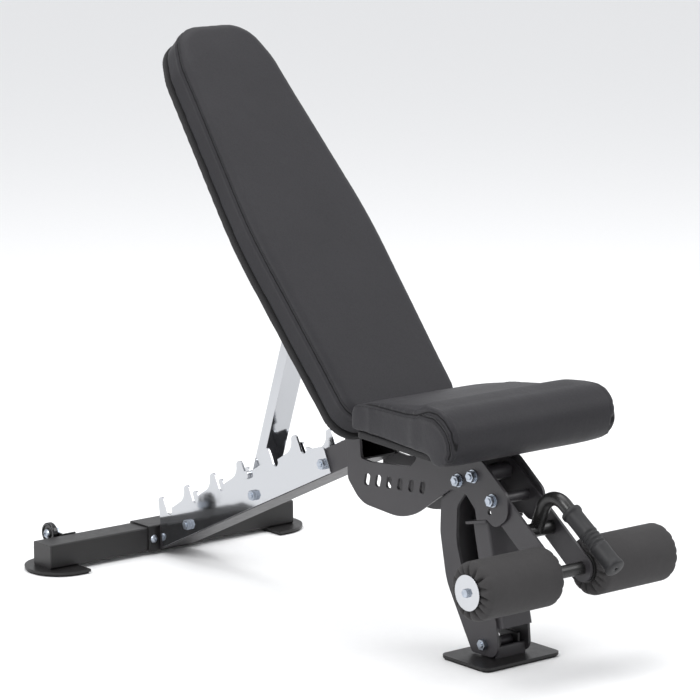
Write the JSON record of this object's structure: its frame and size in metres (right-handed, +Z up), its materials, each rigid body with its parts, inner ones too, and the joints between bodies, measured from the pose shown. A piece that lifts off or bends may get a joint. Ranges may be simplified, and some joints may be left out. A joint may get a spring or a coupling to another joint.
{
  "type": "weight bench",
  "caption": "Adjustable incline bench: padded back on a strut and notched ladder, padded seat, roller leg hold-down with a grip handle, and transport wheels.",
  "frame": {"origin": "on the floor, midway along the bench and in its middle plane", "axes": "+X forward to the leg rollers and front foot, +Y to the side the domed bolt heads are on, +Z up"},
  "size_m": [1.3358, 0.6278, 1.0256],
  "materials": {
    "base_paint": "satin black powder coat",
    "cap_paint": "satin black end caps",
    "frame_paint": "fine-textured charcoal powder coat",
    "handle_paint": "gloss black paint",
    "chrome_plate": "bright chrome plate",
    "zinc": "zinc-plated steel",
    "vinyl": "charcoal grained upholstery vinyl",
    "plywood": "plywood wrapped in thin black cloth",
    "foam": "charcoal closed-cell foam with a skin",
    "grip_rubber": "ribbed black rubber",
    "foot_rubber": "matt black rubber",
    "wheel_plastic": "glossy black plastic",
    "core_plastic": "black plastic liner"
  },
  "bodies": {
    "frame": {"back_hinge_shaft": "zinc", "cheek_bolts": "zinc", "cheek_plate_far": "frame_paint", "cheek_plate_near": "frame_paint", "cheek_washers": "zinc", "foot_bolt": "zinc", "foot_spacers": "frame_paint", "front_foot_bracket": "base_paint", "front_foot_pad": "foot_rubber", "front_foot_plate": "base_paint", "front_post": "frame_paint", "handle_cross_tube": "handle_paint", "handle_grip": "grip_rubber", "handle_tube": "handle_paint", "hold_down_arm_far": "frame_paint", "hold_down_arm_near": "frame_paint", "ladder_bolts": "zinc", "ladder_plate_far": "chrome_plate", "ladder_plate_near": "chrome_plate", "leg_plate_far": "frame_paint", "leg_plate_near": "frame_paint", "leg_web": "frame_paint", "post_top_plate": "frame_paint", "rear_cross_tube": "base_paint", "rear_end_caps": "cap_paint", "rear_foot_pads": "foot_rubber", "rear_foot_plates": "base_paint", "rear_saddle": "base_paint", "roller_axle": "handle_paint", "roller_end_bolts": "zinc", "roller_end_discs": "chrome_plate", "roller_flanges": "handle_paint", "saddle_bolts": "zinc", "spacer_tubes": "frame_paint", "spine_tube": "frame_paint", "wheel_bolts": "zinc", "wheel_brackets": "base_paint"},
    "backrest": {"back_pad": "vinyl", "back_board": "plywood", "back_rail_near": "frame_paint", "back_rail_far": "frame_paint", "back_hinge_tube": "frame_paint", "back_mount_tabs": "frame_paint", "back_screws": "zinc", "strut_pivot_bolt": "zinc"},
    "strut": {"strut_tube": "chrome_plate", "strut_pin": "chrome_plate"},
    "seat": {"seat_pad": "vinyl", "seat_board": "plywood", "seat_bracket_near": "frame_paint", "seat_bracket_far": "frame_paint", "seat_mount_tabs": "frame_paint", "seat_screws": "zinc", "seat_rod": "zinc"},
    "roller_near": {"foam_roller_near": "foam", "roller_core_near": "core_plastic"},
    "roller_far": {"foam_roller_far": "foam", "roller_core_far": "core_plastic"},
    "wheel_near": {"wheel_near": "wheel_plastic"},
    "wheel_far": {"wheel_far": "wheel_plastic"}
  },
  "joints": [
    {"name": "back_pivot", "type": "hinge", "parent": "frame", "child": "backrest", "pos_m": [0.0241, 0, 0.362], "axis": [0, 1, 0], "range_deg": [0, 37]},
    {"name": "strut_pivot", "type": "hinge", "parent": "backrest", "child": "strut", "pos_m": [-0.14438, 0, 0.579], "axis": [0, 1, 0], "range_deg": [-16.65, 0]},
    {"name": "seat_pivot", "type": "hinge", "parent": "frame", "child": "seat", "pos_m": [0.2221, 0, 0.349], "axis": [0, -1, 0], "range_deg": [0, 4.5]},
    {"name": "roller_near_spin", "type": "hinge", "parent": "frame", "child": "roller_near", "pos_m": [0.5421, -0.1295, 0.185], "axis": [0, 1, 0], "continuous": true},
    {"name": "roller_far_spin", "type": "hinge", "parent": "frame", "child": "roller_far", "pos_m": [0.5421, 0.1295, 0.185], "axis": [0, 1, 0], "continuous": true},
    {"name": "wheel_near_spin", "type": "hinge", "parent": "frame", "child": "wheel_near", "pos_m": [-0.6469, -0.229, 0.053], "axis": [0, 1, 0], "continuous": true},
    {"name": "wheel_far_spin", "type": "hinge", "parent": "frame", "child": "wheel_far", "pos_m": [-0.6469, 0.229, 0.053], "axis": [0, 1, 0], "continuous": true}
  ],
  "couplings": [
    {"joint": "strut_pivot", "follows": "back_pivot", "ratio": -0.45}
  ]
}
